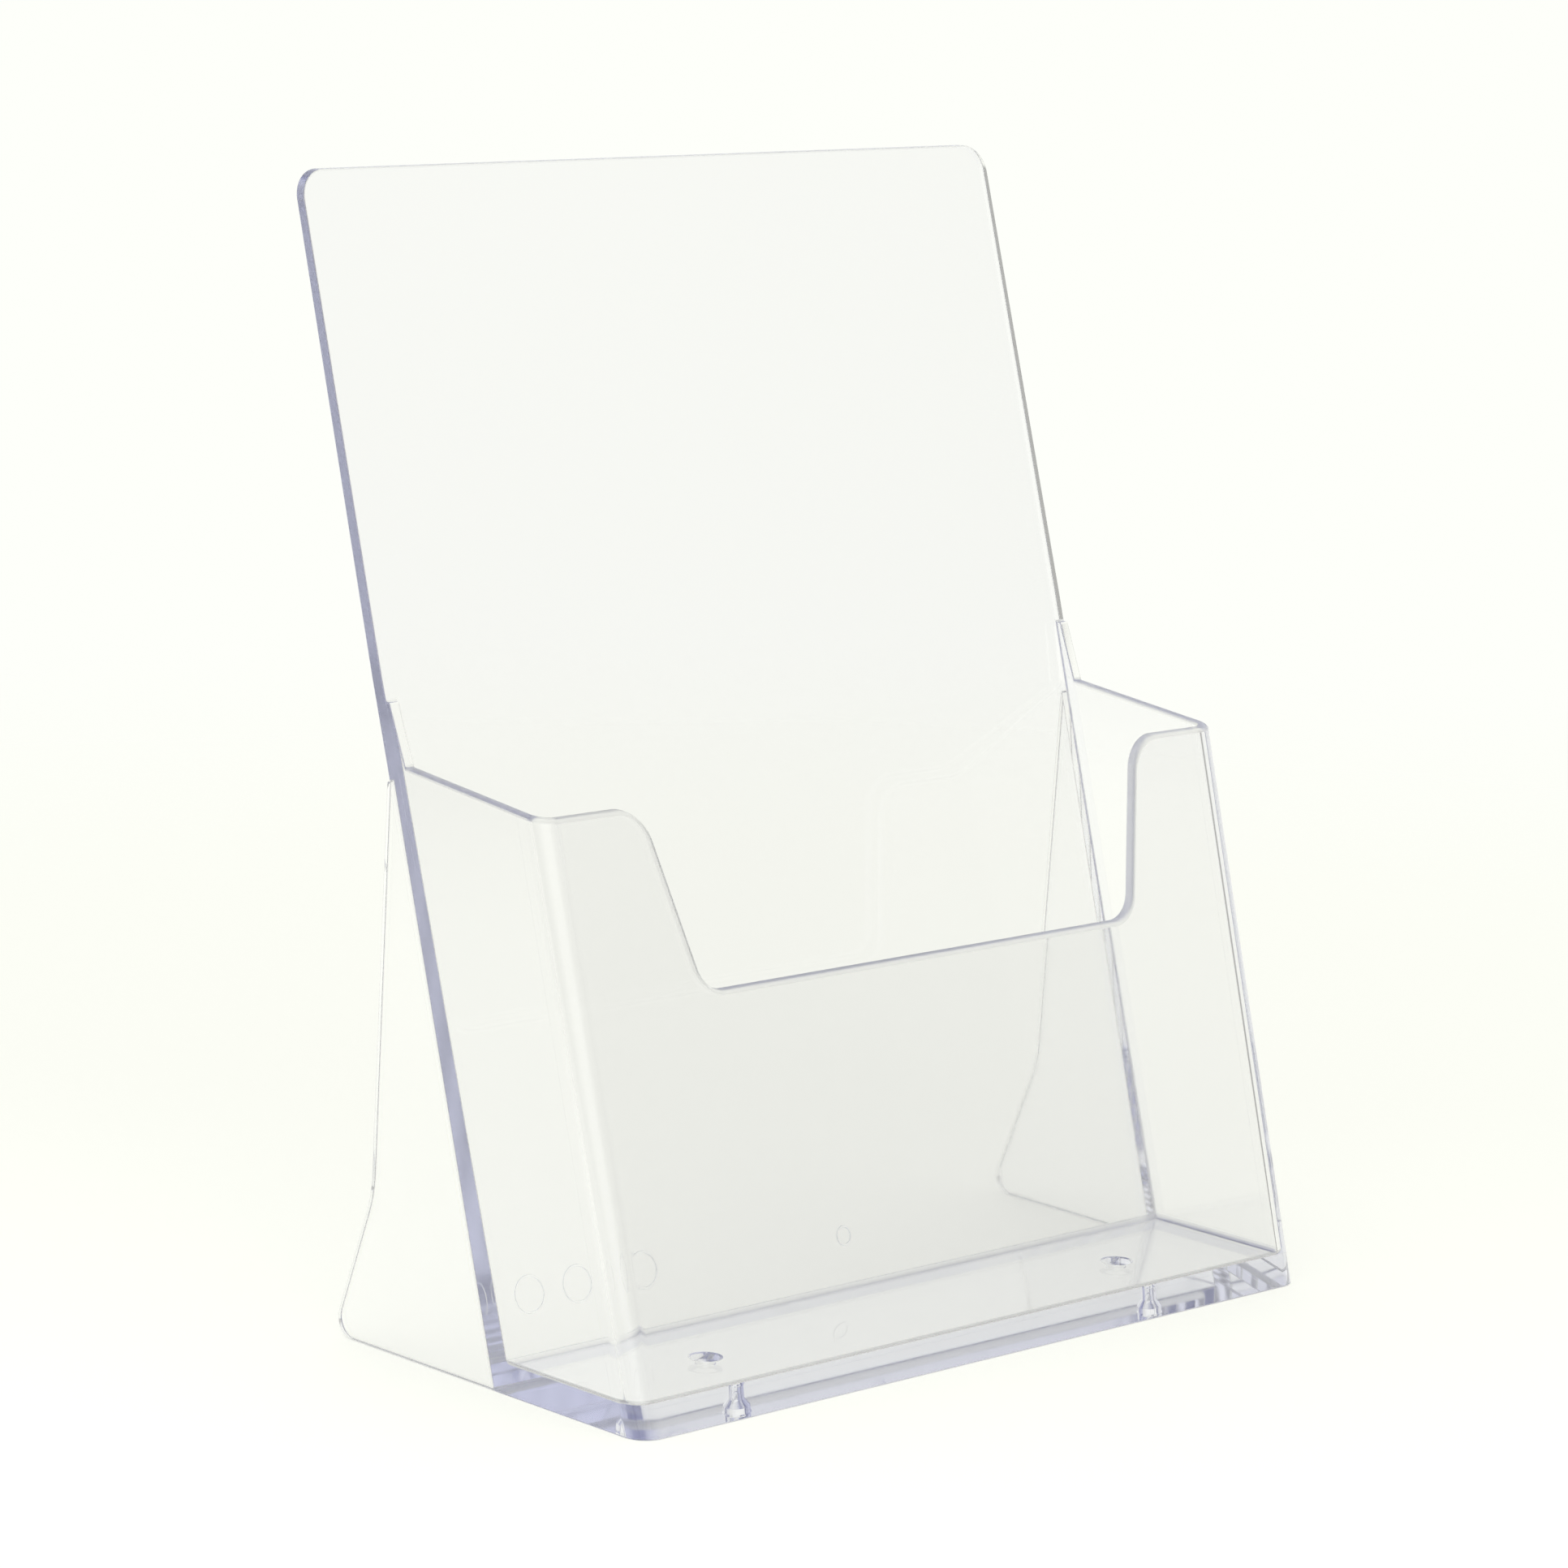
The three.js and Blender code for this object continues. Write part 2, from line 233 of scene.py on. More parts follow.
def placed(x, y, z):
    """A point of the outlines, in the row frame, in metres."""
    return Vector((x, y + POCKET_ORIGIN_Y, z)) * MM


def solid(name, rings, closed=False):
    """A closed mesh through rings of points. The first and last ring are capped, or joined when closed."""
    mesh = bpy.data.meshes.new(name)
    build = bmesh.new()
    loops = [[build.verts.new(placed(*point)) for point in ring] for ring in rings]
    pairs = list(zip(loops, loops[1:]))
    if closed:
        pairs.append((loops[-1], loops[0]))
    else:
        build.faces.new(loops[0])
        build.faces.new(reversed(loops[-1]))
    for near, far in pairs:
        for i in range(len(near)):
            j = (i + 1) % len(near)
            build.faces.new([near[j], near[i], far[i], far[j]])
    bmesh.ops.recalc_face_normals(build, faces=build.faces)
    build.to_mesh(mesh)
    build.free()
    thing = bpy.data.objects.new(name, mesh)
    bpy.context.scene.collection.objects.link(thing)
    return thing


def side_view_solid(name, outline, left=-REACH, right=REACH):
    """A side-view outline in y and z, from x = left to x = right."""
    return solid(name, [[(x, y, z) for y, z in outline] for x in (left, right)])


def front_view_solid(name, outline, front, back, slope=0):
    """A front-view outline in x and z, from y = front to y = back. It climbs by slope on the way."""
    return solid(name, [[(x, y, z + y * slope) for x, z in outline] for y in (front, back)])


def leaning_solid(name, corners, bottom, top):
    """A plan-view outline raised from z = bottom to z = top along the lean and flare of the pocket."""
    rings = []
    for z in (bottom, top):
        moved = []
        for x, y, *radius in corners:
            flare = math.copysign(half_width(z) - half_width(0), x)
            widening = pocket_depth(z) - POCKET_DEPTH if y < -POCKET_DEPTH / 2 else 0
            moved.append((x + flare, y + panel_front(z) - widening, *radius))
        rings.append([(x, y, z) for x, y in rounded(moved)])
    return solid(name, rings)


def applied(thing, modifier):
    """Applies a modifier that was just added to thing."""
    shown = thing.evaluated_get(bpy.context.evaluated_depsgraph_get())
    mesh = bpy.data.meshes.new_from_object(shown)
    thing.modifiers.remove(modifier)
    old = thing.data
    thing.data = mesh
    bpy.data.meshes.remove(old)


def combine(thing, other, operation):
    """Joins other to thing, cuts it out of it, or keeps what they share. other is used up."""
    modifier = thing.modifiers.new("combine", "BOOLEAN")
    modifier.operation = operation
    modifier.solver = "MANIFOLD"
    modifier.object = other
    applied(thing, modifier)
    used = other.data
    bpy.data.objects.remove(other)
    bpy.data.meshes.remove(used)


# ---------------------------------------------------------------- the moulding


def envelope():
    """The moulding without its hollows: its side view, front view and plan, all at once."""
    gusset_foot = panel_front(RIM_HEIGHT_AT_BACK) - GUSSET_REACH_AT_RIM
    side_view = [
        (pocket_front(0), 0),
        (pocket_front(RIM_HEIGHT_AT_FRONT), RIM_HEIGHT_AT_FRONT),
        (gusset_foot, rim_height(gusset_foot)),
        (panel_front(GUSSET_TOP_HEIGHT) - GUSSET_REACH_AT_TOP, GUSSET_TOP_HEIGHT, GUSSET_TIP_RADIUS),
        (panel_front(GUSSET_TOP_HEIGHT), GUSSET_TOP_HEIGHT),
        (panel_front(HEIGHT), HEIGHT),
        (panel_front(HEIGHT) + PANEL_DEPTH_AT_TOP, HEIGHT),
        (lower_panel_back(RIM_HEIGHT_AT_BACK), RIM_HEIGHT_AT_BACK),
        (lower_panel_back(LEG_TOP_HEIGHT), LEG_TOP_HEIGHT),
        (lower_panel_back(LEG_TOP_HEIGHT) + LEG_TOP_REACH, LEG_TOP_HEIGHT),
        (LEG_KNEE_BACK, LEG_KNEE_HEIGHT, LEG_KNEE_RADIUS),
        (LEG_HEEL_BACK, 0, LEG_HEEL_RADIUS),
    ]
    body = side_view_solid("moulding", rounded(side_view))

    # Above the shoulders the sides draw in; below them the pocket's flare is what limits the width
    below = -REACH
    width_below = ramp(below, SHOULDER_HEIGHT, HEIGHT, SHOULDER_WIDTH, TOP_WIDTH)
    upper_sides = both_sides([(width_below / 2, below), (TOP_WIDTH / 2, HEIGHT, PANEL_CORNER_RADIUS)])
    combine(body, front_view_solid("upper_sides", rounded(upper_sides), -REACH, REACH), "INTERSECT")

    plan = both_sides([(BASE_WIDTH / 2, -POCKET_DEPTH, POCKET_CORNER_RADIUS), (BASE_WIDTH / 2, REACH)])
    combine(body, leaning_solid("plan", plan, -CUT_MARGIN, HEIGHT + CUT_MARGIN), "INTERSECT")
    return body


def cut_pocket(body):
    inner = BASE_WIDTH / 2 - WALL_THICKNESS
    corner = (inner, WALL_THICKNESS - POCKET_DEPTH, POCKET_CORNER_RADIUS - WALL_THICKNESS)
    hollow = both_sides([corner, (inner, 0)])
    combine(body, leaning_solid("hollow", hollow, FLOOR_THICKNESS, HEIGHT + CUT_MARGIN), "DIFFERENCE")


def cut_between_legs(body):
    """Leaves the two legs and the panel's back face."""
    rings = []
    for z in (-CUT_MARGIN, LEG_TOP_HEIGHT + CUT_MARGIN):
        inside = half_width(z) - LEG_THICKNESS
        near = lower_panel_back(z)
        rings.append([(-inside, near, z), (inside, near, z), (inside, REACH, z), (-inside, REACH, z)])
    combine(body, solid("between_legs", rings), "DIFFERENCE")


def cut_thumb_opening(body):
    """It runs back along the rim's slope, so that its edge meets the rim squarely."""
    edge = CUTOUT_HALF_WIDTH_AT_RIM + CUTOUT_TOP_RADIUS
    right_half = [
        (CUTOUT_HALF_WIDTH_AT_BOTTOM, CUTOUT_BOTTOM_HEIGHT, CUTOUT_BOTTOM_RADIUS),
        (CUTOUT_HALF_WIDTH_AT_RIM, RIM_HEIGHT_AT_FRONT, CUTOUT_TOP_RADIUS),
        (edge, RIM_HEIGHT_AT_FRONT + CUTOUT_RUN_OUT),
        (edge, HEIGHT),
    ]
    rim_front = pocket_front(RIM_HEIGHT_AT_FRONT)
    outline = [(x, z - rim_front * RIM_SLOPE) for x, z in rounded(both_sides(right_half))]
    front = pocket_front(0) - CUT_MARGIN
    inside_pocket = panel_front(CUTOUT_BOTTOM_HEIGHT) - POCKET_DEPTH / 4
    opening = front_view_solid("thumb_opening", outline, front, inside_pocket, RIM_SLOPE)
    combine(body, opening, "DIFFERENCE")


def on_rim(point):
    """Whether a corner of the moulding is on the pocket's rim or the edge of the thumb cut-out."""
    clear_of_panel = point.y - POCKET_ORIGIN_Y < panel_front(point.z) - GUSSET_REACH_AT_RIM / 2
    return clear_of_panel and CUTOUT_BOTTOM_HEIGHT - NEAR < point.z < RIM_HEIGHT_AT_BACK + NEAR


def soften_edges(body):
    """Rounds the outer edges and fillets the inner corners."""
    for _ in (POLISHED_INDEX, JOINT_INDEX, DULL_INDEX):
        body.data.materials.append(None)
    build = bmesh.new()
    build.from_mesh(body.data)
    bmesh.ops.remove_doubles(build, verts=build.verts, dist=WELD_DISTANCE)
    bmesh.ops.dissolve_limit(build, angle_limit=FLAT_ANGLE, verts=build.verts, edges=build.edges)
    for face in build.faces:
        if all(on_rim(vert.co / MM) for vert in face.verts):
            face.material_index = DULL_INDEX
    widest = POCKET_FLOOR_FILLET_RADIUS
    weight = build.edges.layers.float.new("bevel_weight_edge")
    for edge in build.edges:
        angle = edge.calc_face_angle_signed()
        if abs(angle) < SHARP_ANGLE:
            continue
        if angle < 0:
            at_floor = all(abs(vert.co.z / MM - FLOOR_THICKNESS) < EDGE_RADIUS for vert in edge.verts)
            radius = POCKET_FLOOR_FILLET_RADIUS if at_floor else FILLET_RADIUS
        else:
            radius = RIM_EDGE_RADIUS if all(on_rim(vert.co / MM) for vert in edge.verts) else EDGE_RADIUS
        edge[weight] = radius / widest
    build.to_mesh(body.data)
    build.free()
    modifier = body.modifiers.new("soften", "BEVEL")
    modifier.limit_method = "WEIGHT"
    modifier.width = widest * MM
    modifier.segments = EDGE_SEGMENTS
    modifier.use_clamp_overlap = False
    modifier.material = DULL_INDEX
    applied(body, modifier)


def round_hole(profile, x, y):
    """A cutter turned about an upright line. Its profile is (radius, z) from the bottom up."""
    turns = [math.tau * k / HOLE_SEGMENTS for k in range(HOLE_SEGMENTS)]
    rings = []
    for radius, z in profile:
        rings.append([(x + radius * math.cos(turn), y + radius * math.sin(turn), z) for turn in turns])
    return solid("hole", rings)


def cut_screw_holes(body):
    chamfer = SCREW_MOUTH_CHAMFER
    head_bottom = FLOOR_THICKNESS - SCREW_HEAD_RIM_DEPTH
    profile = [
        (SCREW_BORE_RADIUS + chamfer + CUT_MARGIN, -CUT_MARGIN),
        (SCREW_BORE_RADIUS, chamfer),
        (SCREW_BORE_RADIUS, head_bottom - (SCREW_HEAD_RADIUS - SCREW_BORE_RADIUS)),
        (SCREW_HEAD_RADIUS, head_bottom),
        (SCREW_HEAD_RADIUS, FLOOR_THICKNESS - chamfer),
        (SCREW_HEAD_RADIUS + chamfer + CUT_MARGIN, FLOOR_THICKNESS + CUT_MARGIN),
    ]
    for side in (-1, 1):
        combine(body, round_hole(profile, side * SCREW_SPACING / 2, -SCREW_FROM_PANEL), "DIFFERENCE")


def add_mark(body, node):
    """A raised bead in a ring on the panel's front face, where the CAD node is."""
    low, high = node_box(node)
    radius = (high.x - low.x) / 2 - MARK_LINE_WIDTH / 2
    middle = (low + high) / 2
    outward = Vector((0, -math.cos(PANEL_LEAN), math.sin(PANEL_LEAN)))
    upward = Vector((0, math.sin(PANEL_LEAN), math.cos(PANEL_LEAN)))
    across = Vector((1, 0, 0))
    foot = Vector((middle.x, panel_front(middle.z), middle.z))
    section = [(MARK_LINE_WIDTH / 2, -MARK_RELIEF)]
    for step in range(BEAD_SEGMENTS + 1):
        angle = math.pi * step / BEAD_SEGMENTS
        section.append((MARK_LINE_WIDTH / 2 * math.cos(angle), MARK_RELIEF * math.sin(angle)))
    section.append((-MARK_LINE_WIDTH / 2, -MARK_RELIEF))
    rings = []
    for k in range(HOLE_SEGMENTS):
        turn = math.tau * k / HOLE_SEGMENTS
        ray = across * math.cos(turn) + upward * math.sin(turn)
        rings.append([foot + ray * (radius + wide) + outward * high_by for wide, high_by in section])
    combine(body, solid(node, rings, closed=True), "UNION")


def moulding():
    body = envelope()
    cut_pocket(body)
    cut_between_legs(body)
    cut_thumb_opening(body)
    soften_edges(body)
    cut_screw_holes(body)
    for node in MARK_NODES:
        add_mark(body, node)
    return body


# ---------------------------------------------------------------- parting it into pieces


def panel_joint(z):
    return panel_front(z) - JOINT_STANDOFF


def panel_back_joint(z):
    return lower_panel_back(z) + JOINT_STANDOFF


def floor_joint(_):
    return FLOOR_THICKNESS + JOINT_STANDOFF


def gusset_joint(y):
    return rim_height(y) + JOINT_STANDOFF


def return_joint(z):
    return pocket_front(z) + FRONT_WALL_RETURN


def upright_cut(name, y_at, bottom, top, **sides):
    """A thin solid along the side-view line y = y_at(z)."""
    half_cut = JOINT_CUT / 2
    outline = [
        (y_at(bottom) - half_cut, bottom),
        (y_at(bottom) + half_cut, bottom),
        (y_at(top) + half_cut, top),
        (y_at(top) - half_cut, top),
    ]
    return side_view_solid(name, outline, **sides)


def level_cut(name, z_at, front, back, **sides):
    """A thin solid along the side-view line z = z_at(y)."""
    half_cut = JOINT_CUT / 2
    outline = [
        (front, z_at(front) - half_cut),
        (back, z_at(back) - half_cut),
        (back, z_at(back) + half_cut),
        (front, z_at(front) + half_cut),
    ]
    return side_view_solid(name, outline, **sides)


def joint_cutters():
    """The thin solids that part the pieces."""
    half_cut = JOINT_CUT / 2
    floor_top = floor_joint(0)
    fillet_top = floor_top + 2 * FILLET_ROOM
    fillet_front = panel_joint(floor_top) - 2 * FILLET_ROOM
    inner_side = BASE_WIDTH / 2 - WALL_THICKNESS - FILLET_ROOM
    gusset_back = panel_joint(RIM_HEIGHT_AT_BACK + JOINT_STANDOFF)
    gusset_front = gusset_back - 2 * GUSSET_REACH_AT_RIM

    yield upright_cut("panel_front_joint", panel_joint, -CUT_MARGIN, GUSSET_TOP_HEIGHT + CUT_MARGIN)
    yield upright_cut("panel_back_joint", panel_back_joint, -CUT_MARGIN, LEG_TOP_HEIGHT + CUT_MARGIN)
    yield level_cut("floor_joint", floor_joint, pocket_front(0) - CUT_MARGIN, fillet_front)
    for side in (-1, 1):
        inner, outer = sorted((side * inner_side, side * REACH))
        sides = {"left": inner, "right": outer}
        # The fillet between floor and panel stays on the floor, as far as the side walls' own fillets
        fillet_back = panel_joint(floor_top)
        yield level_cut("side_floor_joint", floor_joint, fillet_front - half_cut, fillet_back, **sides)
        fillet_end = [
            (fillet_front, floor_top - half_cut),
            (fillet_back, floor_top - half_cut),
            (panel_joint(fillet_top), fillet_top),
            (fillet_front, fillet_top),
        ]
        cut_at = side * inner_side
        yield side_view_solid("fillet_joint", fillet_end, cut_at - half_cut, cut_at + half_cut)
        yield upright_cut("return_joint", return_joint, floor_top, RIM_HEIGHT_AT_BACK, **sides)
        yield level_cut("gusset_joint", gusset_joint, gusset_front, gusset_back, **sides)


def islands(build):
    """The faces of each separate piece in a bmesh."""
    waiting = set(build.faces)
    while waiting:
        piece = {waiting.pop()}
        to_visit = list(piece)
        while to_visit:
            face = to_visit.pop()
            for edge in face.edges:
                for neighbour in edge.link_faces:
                    if neighbour in waiting:
                        waiting.remove(neighbour)
                        piece.add(neighbour)
                        to_visit.append(neighbour)
        yield piece


def nearest_node(low, high):
    """The CAD node whose box is most like the box from low to high."""

    def difference(node):
        node_low, node_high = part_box(node)
        return (Vector(node_low) - low).length + (Vector(node_high) - high).length

    return min(frame["nodes"], key=difference)


def finish_mesh(mesh):
    """Smooth shading with sharp edges round the joints, and what the material needs to know of each face."""
    mesh.shade_smooth()
    build = bmesh.new()
    build.from_mesh(mesh)
    bmesh.ops.dissolve_degenerate(build, dist=SMALLEST_EDGE, edges=build.edges)
    for edge in build.edges:
        in_joint = {face.material_index == JOINT_INDEX for face in edge.link_faces}
        edge.smooth = len(in_joint) == 1 and edge.calc_face_angle(0) < SHARP_ANGLE
    joint = build.faces.layers.float.new("joint")
    dull = build.faces.layers.float.new("dull")
    for face in build.faces:
        face[joint] = float(face.material_index == JOINT_INDEX)
        face[dull] = float(face.material_index == DULL_INDEX)
        face.material_index = POLISHED_INDEX
    build.to_mesh(mesh)
    build.free()


def keep_flat_faces_flat(thing):
    """Turns the shading's normals towards the large faces."""
    modifier = thing.modifiers.new("flat_faces_stay_flat", "WEIGHTED_NORMAL")
    modifier.weight = LARGE_FACES_FIRST
    modifier.keep_sharp = True
    applied(thing, modifier)


def object_of(faces, name):
    """A new object that is a copy of some faces of a bmesh."""
    build = bmesh.new()
    copies = {}
    for face in sorted(faces, key=lambda f: f.index):
        corners = []
        for vert in face.verts:
            if vert not in copies:
                copies[vert] = build.verts.new(vert.co)
            corners.append(copies[vert])
        build.faces.new(corners).material_index = face.material_index
    mesh = bpy.data.meshes.new(name)
    build.to_mesh(mesh)
    build.free()
    finish_mesh(mesh)
    thing = bpy.data.objects.new(name, mesh)
    bpy.context.scene.collection.objects.link(thing)
    keep_flat_faces_flat(thing)
    return thing


def part(body):
    """Parts the moulding into one object for each CAD node, by node name."""
    for cutter in joint_cutters():
        for face in cutter.data.polygons:
            face.material_index = JOINT_INDEX
        combine(body, cutter, "DIFFERENCE")
    whole = bmesh.new()
    whole.from_mesh(body.data)
    bpy.data.objects.remove(body)
    parts = {}
    for faces in islands(whole):
        verts = {vert for face in faces for vert in face.verts}
        low = Vector([min(vert.co[axis] for vert in verts) for axis in range(3)])
        high = Vector([max(vert.co[axis] for vert in verts) for axis in range(3)])
        node = nearest_node(low, high)
        if node in parts:
            raise RuntimeError(f"two parts of the moulding are both like {node}")
        parts[node] = faces
    missing = set(frame["nodes"]) - set(parts)
    if missing:
        raise RuntimeError(f"no part of the moulding is like {sorted(missing)}")
    made = {node: object_of(parts[node], f"clear_{node}") for node in sorted(parts)}
    whole.free()
    return made


# ---------------------------------------------------------------- clear polystyrene

REFRACTIVE_INDEX = 1.59
# What a metre of the plastic takes away, by its colour and density
TINT = (0.25, 0.28, 0.70, 1)
TINT_DENSITY = 4
# Slow ripples of the flow in the mould, drawn out along the rack's width, in waves for each metre
FLOW_SCALE = (14, 40, 22)
FLOW_RELIEF = 0.02 * MM
# A finer unevenness of the polish
POLISH_SCALE = 260
POLISH_FROM, POLISH_TO = 0.35, 0.75
BEST_ROUGHNESS, WORST_ROUGHNESS = 0.02, 0.06
# A mould's fillets, rounded edges and parting face are duller than its large faces by this much
DULL_ROUGHNESS = 0.45


def node_in(tree, kind, **values):
    """A new shader node, with values for its sockets or its own settings, by name."""
    made = tree.nodes.new(kind)
    for key, value in values.items():
        if key in made.inputs:
            made.inputs[key].default_value = value
        else:
            setattr(made, key, value)
    return made


def smooth_step(tree, value, start, end, at_start=0, at_end=1):
    """The output of a node that goes smoothly from at_start to at_end as value goes from start to end."""
    step = node_in(tree, "ShaderNodeMapRange", interpolation_type="SMOOTHSTEP")
    step.inputs["From Min"].default_value = start
    step.inputs["From Max"].default_value = end
    step.inputs["To Min"].default_value = at_start
    step.inputs["To Max"].default_value = at_end
    tree.links.new(value, step.inputs["Value"])
    return step.outputs["Result"]


def mixed(tree, factor, first, second):
    """The output of a node that shades as first where factor is 0 and as second where it is 1."""
    mix = node_in(tree, "ShaderNodeMixShader")
    tree.links.new(factor, mix.inputs["Fac"])
    tree.links.new(first, mix.inputs[1])
    tree.links.new(second, mix.inputs[2])
    return mix.outputs["Shader"]


def empty_material(name):
    material = bpy.data.materials.new(name)
    material.use_nodes = True
    material.node_tree.nodes.clear()
    return material


def clear_polystyrene():
    """Clear plastic with a faint blue-violet cast in its depth. Joint faces let light straight through."""
    material = empty_material("clear_polystyrene")
    tree = material.node_tree
    link = tree.links.new
    place = node_in(tree, "ShaderNodeTexCoord").outputs["Object"]

    stretched = node_in(tree, "ShaderNodeMapping", Scale=FLOW_SCALE)
    link(place, stretched.inputs["Vector"])
    flow = node_in(tree, "ShaderNodeTexNoise", Scale=1.0, Detail=2.0, Roughness=0.4)
    link(stretched.outputs["Vector"], flow.inputs["Vector"])
    ripples = node_in(tree, "ShaderNodeBump", Strength=1.0, Distance=FLOW_RELIEF)
    link(flow.outputs["Fac"], ripples.inputs["Height"])

    polish = node_in(tree, "ShaderNodeTexNoise", Scale=POLISH_SCALE, Detail=3.0, Roughness=0.55)
    link(place, polish.inputs["Vector"])
    roughness = node_in(tree, "ShaderNodeMapRange")
    roughness.inputs["From Min"].default_value = POLISH_FROM
    roughness.inputs["From Max"].default_value = POLISH_TO
    roughness.inputs["To Min"].default_value = BEST_ROUGHNESS
    roughness.inputs["To Max"].default_value = WORST_ROUGHNESS
    link(polish.outputs["Fac"], roughness.inputs["Value"])
    dull = node_in(tree, "ShaderNodeAttribute", attribute_name="dull")
    duller = node_in(tree, "ShaderNodeMath", operation="MULTIPLY_ADD")
    duller.inputs[1].default_value = DULL_ROUGHNESS
    link(dull.outputs["Fac"], duller.inputs[0])
    link(roughness.outputs["Result"], duller.inputs[2])

    plastic = node_in(tree, "ShaderNodeBsdfPrincipled", IOR=REFRACTIVE_INDEX)
    plastic.inputs["Base Color"].default_value = (1, 1, 1, 1)
    plastic.inputs["Transmission Weight"].default_value = 1
    link(duller.outputs["Value"], plastic.inputs["Roughness"])
    link(ripples.outputs["Normal"], plastic.inputs["Normal"])

    straight_through = node_in(tree, "ShaderNodeBsdfTransparent").outputs["BSDF"]
    joint = node_in(tree, "ShaderNodeAttribute", attribute_name="joint").outputs["Fac"]
    depth = node_in(tree, "ShaderNodeVolumeAbsorption", Color=TINT, Density=TINT_DENSITY)
    output = node_in(tree, "ShaderNodeOutputMaterial")
    link(mixed(tree, joint, plastic.outputs["BSDF"], straight_through), output.inputs["Surface"])
    link(depth.outputs["Volume"], output.inputs["Volume"])
    return material


# ---------------------------------------------------------------- studio

# The backdrop is behind the rack and to its right, in the camera's view
BACKDROP_DIRECTION = Vector((0.688, 0.726, 0))
BACKDROP_LEVEL = 1.0
WINDOW_DIRECTION = Vector((-0.62, -0.66, 0.42)).normalized()
WINDOW_LEVEL = 1.3
OVERHEAD = Vector((0, 0, 1))
OVERHEAD_LEVEL = 0.8
# Each light fades out between two angles from its middle, given by their cosines
BACKDROP_EDGE = (0.45, 0.85)
WINDOW_EDGE = (0.72, 0.95)
OVERHEAD_EDGE = (0.15, 0.55)
TENT_COLOUR = (0.99, 1.0, 0.955, 1)
ROOM_COLOUR = (1.0, 1.0, 0.96, 1)
ROOM_LEVEL = 0.40

PAPER_RADIUS = 0.75
PAPER_FADES_FROM = 0.35
PAPER_SEGMENTS = 96
# The rack stands on its moulded edges, so there is a film of air under its flat faces
PAPER_HEIGHT = -0.05 * MM
PAPER_COLOUR = (0.42, 0.42, 0.39, 1)
# Painted light: the paper glows of itself, more in front of the rack than behind it, so that only a faint
# shadow shows. It changes within this reach.
PAPER_PAINTED_LIGHT_IN_FRONT = 0.74
PAPER_PAINTED_LIGHT_BEHIND = 0.62
PAINTED_LIGHT_REACH = 0.18


def along(tree, vector, direction):
    """The output of a node that says how far a vector goes in a direction."""
    dot = node_in(tree, "ShaderNodeVectorMath", operation="DOT_PRODUCT")
    dot.inputs[1].default_value = direction
    tree.links.new(vector, dot.inputs[0])
    return dot.outputs["Value"]


def white_paper_with_painted_glow():
    """Paper with a painted glow that lifts its shade, brighter in front of the rack than behind it, and that
    fades into the light of the tent beyond it.
    """
    material = empty_material("white_paper_with_painted_glow")
    tree = material.node_tree
    link = tree.links.new
    place = node_in(tree, "ShaderNodeTexCoord").outputs["Object"]

    lit = node_in(tree, "ShaderNodeBsdfDiffuse", Color=PAPER_COLOUR)
    # Painted light: an emission on the paper, stronger in front of the rack than behind it, that fills in the
    # shadows
    painted_glow = node_in(tree, "ShaderNodeEmission", Color=TENT_COLOUR)
    behind = along(tree, place, BACKDROP_DIRECTION)
    painted_glow_strength = smooth_step(tree, behind, -PAINTED_LIGHT_REACH, PAINTED_LIGHT_REACH, PAPER_PAINTED_LIGHT_IN_FRONT, PAPER_PAINTED_LIGHT_BEHIND)
    link(painted_glow_strength, painted_glow.inputs["Strength"])
    paper = node_in(tree, "ShaderNodeAddShader")
    link(lit.outputs["BSDF"], paper.inputs[0])
    link(painted_glow.outputs["Emission"], paper.inputs[1])

    nothing = node_in(tree, "ShaderNodeBsdfTransparent").outputs["BSDF"]
    distance = node_in(tree, "ShaderNodeVectorMath", operation="LENGTH")
    link(place, distance.inputs[0])
    fade = smooth_step(tree, distance.outputs["Value"], PAPER_FADES_FROM, PAPER_RADIUS)
    output = node_in(tree, "ShaderNodeOutputMaterial")
    link(mixed(tree, fade, paper.outputs["Shader"], nothing), output.inputs["Surface"])
    return material


def studio_floor():
    """A round sheet of white paper under the rack."""
    mesh = bpy.data.meshes.new("studio_floor")
    build = bmesh.new()
    bmesh.ops.create_circle(build, cap_ends=True, segments=PAPER_SEGMENTS, radius=PAPER_RADIUS)
    build.to_mesh(mesh)
    build.free()
    mesh.materials.append(white_paper_with_painted_glow())
    floor = bpy.data.objects.new("studio_floor", mesh)
    floor.location.z = PAPER_HEIGHT
    bpy.context.scene.collection.objects.link(floor)


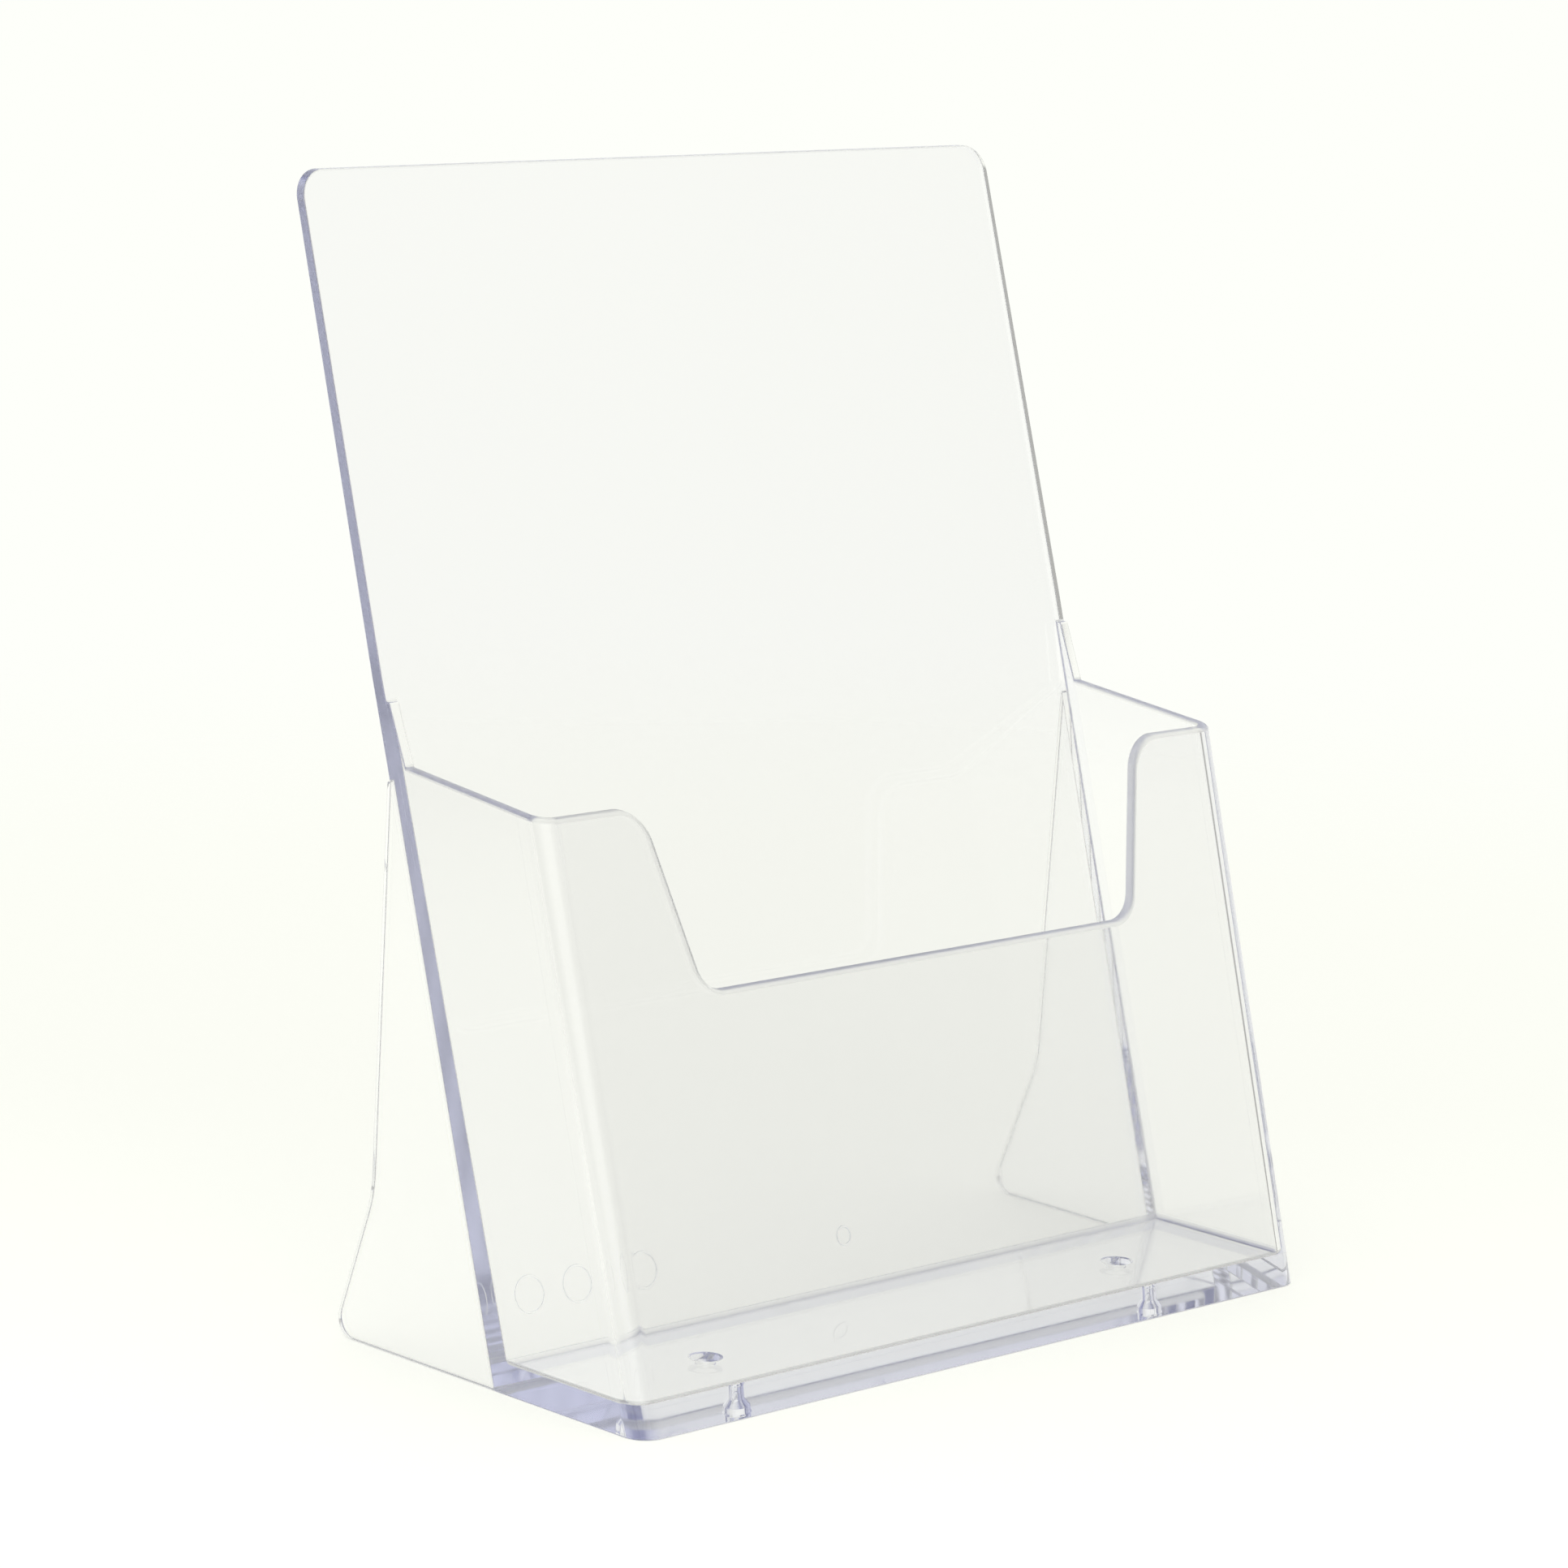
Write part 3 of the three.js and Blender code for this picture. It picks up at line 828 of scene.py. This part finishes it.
def studio_light():
    """A pale tent: a backdrop, a window behind the camera and a top light, in a room that is dimmer."""
    world = bpy.data.worlds.new("white_tent")
    bpy.context.scene.world = world
    world.use_nodes = True
    tree = world.node_tree
    tree.nodes.clear()
    link = tree.links.new
    direction = node_in(tree, "ShaderNodeTexCoord").outputs["Generated"]

    def brightest(first, second):
        chosen = node_in(tree, "ShaderNodeMath", operation="MAXIMUM")
        link(first, chosen.inputs[0])
        link(second, chosen.inputs[1])
        return chosen.outputs["Value"]

    def light_from(middle, edge, brightness):
        return smooth_step(tree, along(tree, direction, middle), *edge, 0, brightness)

    backdrop = light_from(BACKDROP_DIRECTION, BACKDROP_EDGE, BACKDROP_LEVEL)
    window = light_from(WINDOW_DIRECTION, WINDOW_EDGE, WINDOW_LEVEL)
    overhead = light_from(OVERHEAD, OVERHEAD_EDGE, OVERHEAD_LEVEL)
    level = brightest(brightest(backdrop, window), overhead)

    # Up to a level of 1 the tent shows more and more in place of the room, and past it the tent is brighter
    tent_level = node_in(tree, "ShaderNodeMath", operation="MAXIMUM")
    tent_level.inputs[1].default_value = 1
    link(level, tent_level.inputs[0])
    tent = node_in(tree, "ShaderNodeBackground", Color=TENT_COLOUR)
    link(tent_level.outputs["Value"], tent.inputs["Strength"])
    room = node_in(tree, "ShaderNodeBackground", Color=ROOM_COLOUR, Strength=ROOM_LEVEL)
    output = node_in(tree, "ShaderNodeOutputWorld")
    light = mixed(tree, level, room.outputs["Background"], tent.outputs["Background"])
    link(light, output.inputs["Surface"])


# ---------------------------------------------------------------- camera

CAMERA_AZIMUTH = math.radians(-43.46)
CAMERA_ELEVATION = math.radians(10.55)
CAMERA_ROLL = math.radians(1.78)
CAMERA_DISTANCE = 973.4 * MM
CAMERA_TARGET = Vector((-5.05, 3.15, 93.11)) * MM
CAMERA_LENS = 128.04
CAMERA_SENSOR = 36
CAMERA_SEES = (0.01, 50)


def camera():
    """Aims at the middle of the rack. Azimuth 0 looks along +Y."""
    data = bpy.data.cameras.new("camera")
    data.lens = CAMERA_LENS
    data.sensor_width = CAMERA_SENSOR
    data.clip_start, data.clip_end = CAMERA_SEES
    thing = bpy.data.objects.new("camera", data)
    bpy.context.scene.collection.objects.link(thing)
    bpy.context.scene.camera = thing
    turn = Matrix.Rotation(CAMERA_AZIMUTH, 4, "Z")
    tilt = Matrix.Rotation(math.pi / 2 - CAMERA_ELEVATION, 4, "X")
    roll = Matrix.Rotation(CAMERA_ROLL, 4, "Z")
    back_off = Matrix.Translation((0, 0, CAMERA_DISTANCE))
    thing.matrix_world = Matrix.Translation(CAMERA_TARGET) @ turn @ tilt @ roll @ back_off


# ---------------------------------------------------------------- the scene

# Light that runs along inside a wall meets its faces many times
BOUNCES = 128


def rendering():
    """Plain colours, and enough bounces for clear plastic."""
    scene = bpy.context.scene
    scene.view_settings.view_transform = "Standard"
    scene.cycles.max_bounces = BOUNCES
    scene.cycles.transmission_bounces = BOUNCES
    scene.cycles.glossy_bounces = BOUNCES
    scene.cycles.transparent_max_bounces = BOUNCES
    scene.cycles.volume_bounces = 0


camera()
studio_floor()
studio_light()
rendering()

plastic = clear_polystyrene()
for node, piece in part(moulding()).items():
    piece.data.materials.append(plastic)
    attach(piece, "root")
    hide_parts(node)
